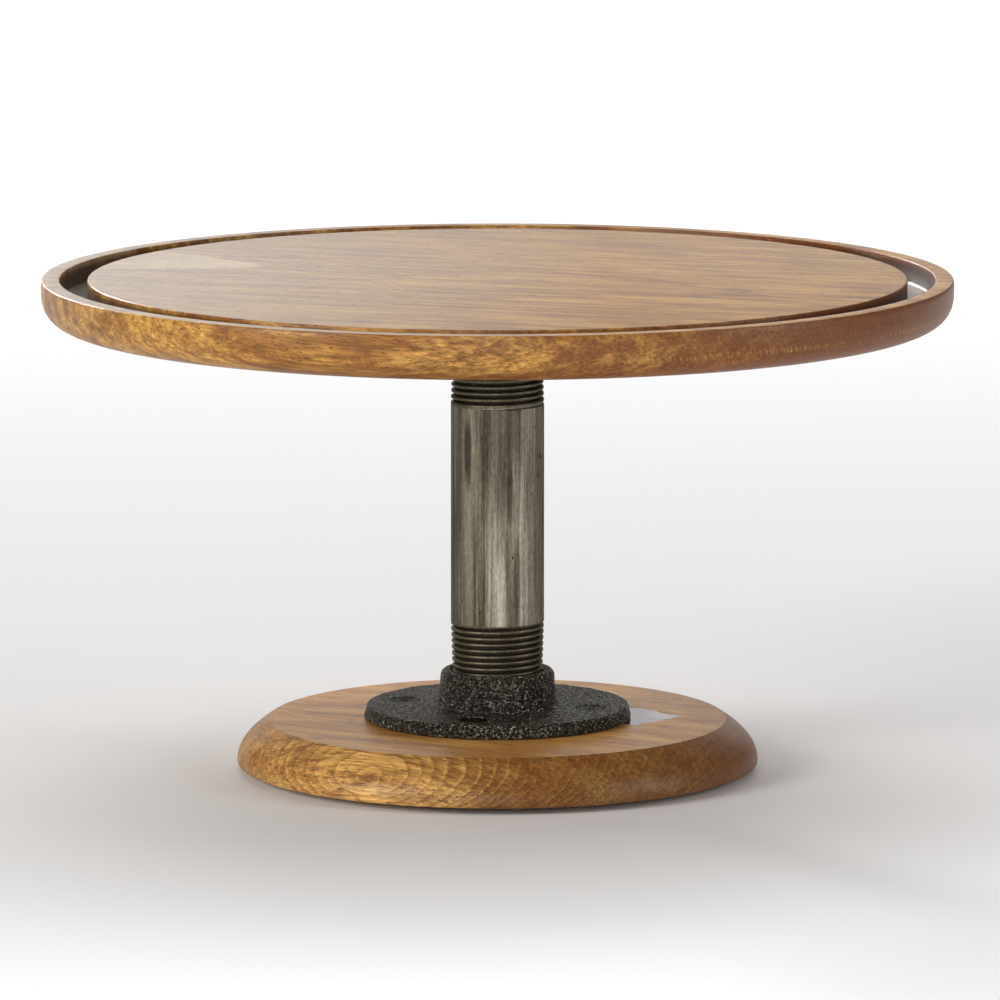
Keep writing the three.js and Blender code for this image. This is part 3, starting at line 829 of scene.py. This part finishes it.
def tray_board(material):
    low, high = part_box("tray")
    radius, bottom, top = high.x, low.z, high.z
    floor = top - GROOVE_DEPTH
    outer = radius - RIM_WIDTH
    inner = outer - GROOVE_WIDTH
    corner = GROOVE_CORNER
    widest = (radius, bottom + TRAY_UNDER_HEIGHT)
    points = [
        (0, bottom),
        *bent((radius - TRAY_UNDER_WIDTH, bottom), (radius, bottom + TRAY_UNDER_CORNER), widest, 20),
        *arc(radius - RIM_EDGE_WIDTH, top - RIM_EDGE_HEIGHT, RIM_EDGE_WIDTH, RIM_EDGE_HEIGHT, 0, 90, 8),
        *arc(outer + RIM_INNER_EDGE, top - RIM_INNER_EDGE, RIM_INNER_EDGE, RIM_INNER_EDGE, 90, 180, 3),
        *arc(outer - corner, floor + corner, corner, corner, 0, -90, 5),
        *arc(inner + corner, floor + corner, corner, corner, -90, -180, 5),
        *arc(inner - DISC_EDGE, top - DISC_EDGE, DISC_EDGE, DISC_EDGE, 0, 90, 4),
        (0, top),
    ]
    bm = carved(turned(points, BOARD_STEPS), pilot_drills("upper", bottom))
    return piece("tray_board", bm, material, "tray_unit", "tray")


def base_board(material):
    low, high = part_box("base")
    radius, bottom, top = high.x, low.z, high.z
    edge = BASE_UNDER_EDGE
    arris = (radius - BASE_SIDE_WIDTH, top)
    points = [
        (0, bottom),
        *arc(radius - edge, bottom + edge, edge, edge, -90, 0, 4),
        *bent((radius, top - BASE_SIDE_HEIGHT), (radius, top - BASE_SIDE_CORNER), arris, 20),
        (0, top),
    ]
    bm = carved(turned(points, BOARD_STEPS), pilot_drills("lower", top))
    return piece("base_board", bm, material, "base_unit", "base", 24)


# ------------------------------------------------------------------ flanges


def screw_places(side):
    """Where a flange's four screws stand."""
    boxes = [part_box(f"{side}_screw_{i}") for i in range(1, 5)]
    return [((low.x + high.x) / 2, (low.y + high.y) / 2) for low, high in boxes]


def sand_cast(bm, level, seed):
    """Moves the skin above a level inwards by two sizes of noise, as a sand mould leaves it."""
    bm.normal_update()
    shift = Vector((seed, seed, seed))
    for vert in bm.verts:
        if vert.co.z > level:
            fine = noise.noise(vert.co / PEBBLE_SIZE + shift)
            broad = noise.noise(vert.co / (4 * PEBBLE_SIZE) + shift)
            vert.co += vert.normal * PEBBLE_HEIGHT * (fine + 0.7 * broad - 0.9)


def flange(side, body, hangs, seed, material):
    node = f"{side}_flange"
    low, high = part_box(node)
    radius, height = high.x, high.z - low.z
    foot = BORE_RADIUS + HUB_WALL + HUB_DRAFT
    crown = BORE_RADIUS + HUB_WALL
    brim = radius - PLATE_DRAFT
    cast = [
        *arc(radius - PLATE_EDGE, PLATE_EDGE, PLATE_EDGE, PLATE_EDGE, -60, 0, 3),
        *arc(brim - PLATE_EDGE, PLATE - PLATE_EDGE, PLATE_EDGE, PLATE_EDGE, 0, 90, 4),
        *arc(foot + HUB_FILLET, PLATE + HUB_FILLET, HUB_FILLET, HUB_FILLET, -90, -180, 5),
        *arc(crown - HUB_ROUND, height - HUB_ROUND, HUB_ROUND, HUB_ROUND, 0, 90, 8),
        (BORE_RADIUS + MOUTH_CHAMFER, height),
    ]
    outline = [
        (BORE_RADIUS, 0),
        (radius - PLATE_EDGE, 0),
        *stepped(cast, CAST_STEP),
        (BORE_RADIUS, height - MOUTH_CHAMFER),
    ]
    bm = turned(outline, FLANGE_STEPS, closed=True)
    sand_cast(bm, PLATE_EDGE / 2, seed)
    level = high.z if hangs else low.z
    sinks = bmesh.new()
    drill = [
        (0, -OVERSHOOT),
        (HOLE_RADIUS, -OVERSHOOT),
        (HOLE_RADIUS, PLATE - (SINK_RADIUS - HOLE_RADIUS)),
        (SINK_RADIUS + OVERSHOOT, PLATE + OVERSHOOT),
        (0, PLATE + OVERSHOOT),
    ]
    for x, y in screw_places(side):
        added(sinks, moved(turned(drill, SMALL_STEPS), seat(level, hangs, x, y)))
    bm = carved(moved(bm, seat(level, hangs)), sinks)
    return piece(f"{node}_casting", bm, material, body, node, 55)


# ------------------------------------------------------------------ pipe nipple

# One pitch of the thread: (share of the pitch, share of the full depth cut away)
THREAD_FORM = [
    (0, 0.06),
    (0.06, 0),
    (0.36, 0),
    (0.42, 0.06),
    (0.6, 0.7),
    (0.68, 1),
    (0.72, 1),
    (0.8, 0.7),
    (1, 0.06),
]


def nipple(material):
    low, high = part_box("pipe_nipple")
    bottom, top, radius = low.z, high.z, high.x
    form = [(share, radius - cut * THREAD_DEPTH) for share, cut in THREAD_FORM]
    bm = wound(form, THREAD_PITCH, bottom, top, PIPE_STEPS)
    tip = radius - THREAD_TAPER * THREAD_LENGTH - TIP_CHAMFER
    groove = bm.verts.layers.float.new("groove")
    threaded = bm.verts.layers.float.new("threaded")
    for vert in bm.verts:
        cut = (radius - vert.co.xy.length) / THREAD_DEPTH
        height = min(vert.co.z - bottom, top - vert.co.z)
        from_end = max(THREAD_LENGTH - height, 0)
        fade = min(from_end / THREAD_RUN_OUT, 1)
        reach = min(radius - THREAD_TAPER * from_end - THREAD_DEPTH * cut * fade, tip + height)
        vert.co.xy = vert.co.xy.normalized() * reach
        vert[groove] = cut * fade
        vert[threaded] = fade
    trimmed(bm, bottom, top)
    bore = radius - PIPE_WALL
    lining = [
        (bore + BORE_CHAMFER, bottom),
        (bore, bottom + BORE_CHAMFER),
        (bore, top - BORE_CHAMFER),
        (bore + BORE_CHAMFER, top),
    ]
    added(bm, turned(lining, PIPE_STEPS))
    for level in (bottom, top):
        bmesh.ops.bridge_loops(bm, edges=open_edges(bm, level))
    return piece("pipe_nipple_threaded", bm, material, "stem", "pipe_nipple", 50)


# ------------------------------------------------------------------ screws


def recess_cutters():
    """The two tapered blades that press a cross into a screw's head."""
    blades = []
    for turn in (0, math.pi / 2):
        bm = bmesh.new()
        bmesh.ops.create_cube(bm, size=1)
        moved(bm, Matrix.Diagonal((RECESS_SPAN, RECESS_WIDTH, 2 * RECESS_DEPTH, 1)))
        lowest = [vert for vert in bm.verts if vert.co.z < 0]
        bmesh.ops.scale(bm, vec=(0.35, 0.7, 1), verts=lowest)
        bmesh.ops.rotate(bm, matrix=Matrix.Rotation(turn, 3, "Z"), verts=bm.verts)
        blades.append(bm)
    return blades


def wood_screw(head, length):
    """A flat-head wood screw whose head's face lies at z = 0, pointing down."""
    neck = -SCREW_LIP - (head - SCREW_CORE)
    start = neck - SCREW_NECK
    form = [(0, SCREW_CORE), (0.25, SCREW_CREST), (0.35, SCREW_CREST), (0.6, SCREW_CORE), (1, SCREW_CORE)]
    bm = wound(form, SCREW_PITCH, -length, start, SCREW_STEPS)
    for vert in bm.verts:
        height = max(vert.co.z + length, 0)
        core = min(height / SCREW_POINT, 1)
        fade = min(max(start - vert.co.z, 0) / SCREW_PITCH, 1)
        proud = max(vert.co.xy.length - SCREW_CORE, 0) * fade
        vert.co.xy = vert.co.xy.normalized() * (SCREW_CORE + proud) * core
    point = -length + SCREW_LIP_EDGE
    trimmed(bm, point, start)
    bmesh.ops.edgeloop_fill(bm, edges=open_edges(bm, point))
    edge = SCREW_LIP_EDGE
    crown = [
        (0, 0),
        *arc(head - edge, -edge, edge, edge, 90, 0, 3),
        (head, -SCREW_LIP),
        (SCREW_CORE, neck),
        (SCREW_CORE, start),
    ]
    added(bm, turned(crown, SCREW_STEPS))
    bmesh.ops.bridge_loops(bm, edges=open_edges(bm, start))
    bmesh.ops.recalc_face_normals(bm, faces=bm.faces)
    return carved(bm, *recess_cutters())


def screws(side, body, hangs, material):
    low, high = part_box(f"{side}_screw_1")
    blank = wood_screw((high.x - low.x) / 2, high.z - low.z)
    for i, (x, y) in enumerate(screw_places(side), 1):
        bm = moved(blank.copy(), Matrix.Rotation(i * 0.7, 4, "Z"))
        moved(bm, seat(low.z if hangs else high.z, hangs, x, y))
        name = f"{side}_screw_{i}"
        piece(f"{name}_cross_head", bm, material, body, name)
    blank.free()


# ------------------------------------------------------------------ feet


def feet(material):
    for i in range(1, 5):
        low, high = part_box(f"foot_{i}")
        x, y = (low.x + high.x) / 2, (low.y + high.y) / 2
        radius = (high.x - low.x) / 2
        bottom = radius - FOOT_DRAFT - FOOT_EDGE
        outline = [
            (0, low.z),
            *arc(bottom, low.z + FOOT_EDGE, FOOT_EDGE, FOOT_EDGE, -90, -10, 6),
            *arc(radius - FOOT_EDGE / 2, high.z - FOOT_EDGE / 2, FOOT_EDGE / 2, FOOT_EDGE / 2, 0, 90, 4),
            (0, high.z),
        ]
        bm = moved(turned(outline, SMALL_STEPS), Matrix.Translation((x, y, 0)))
        piece(f"foot_{i}_bumper", bm, material, "base_unit", f"foot_{i}")


# ------------------------------------------------------------------ assembly

add_camera()
add_lights()
add_floor()

tray_board(tray_wood())
base_board(base_wood())
nipple(pipe_steel())
iron = cast_iron()
oxide = black_oxide()
for side, body, hangs, seed in (("lower", "base_unit", False, 3.1), ("upper", "tray_unit", True, 8.7)):
    flange(side, body, hangs, seed, iron)
    screws(side, body, hangs, oxide)
feet(foot_rubber())
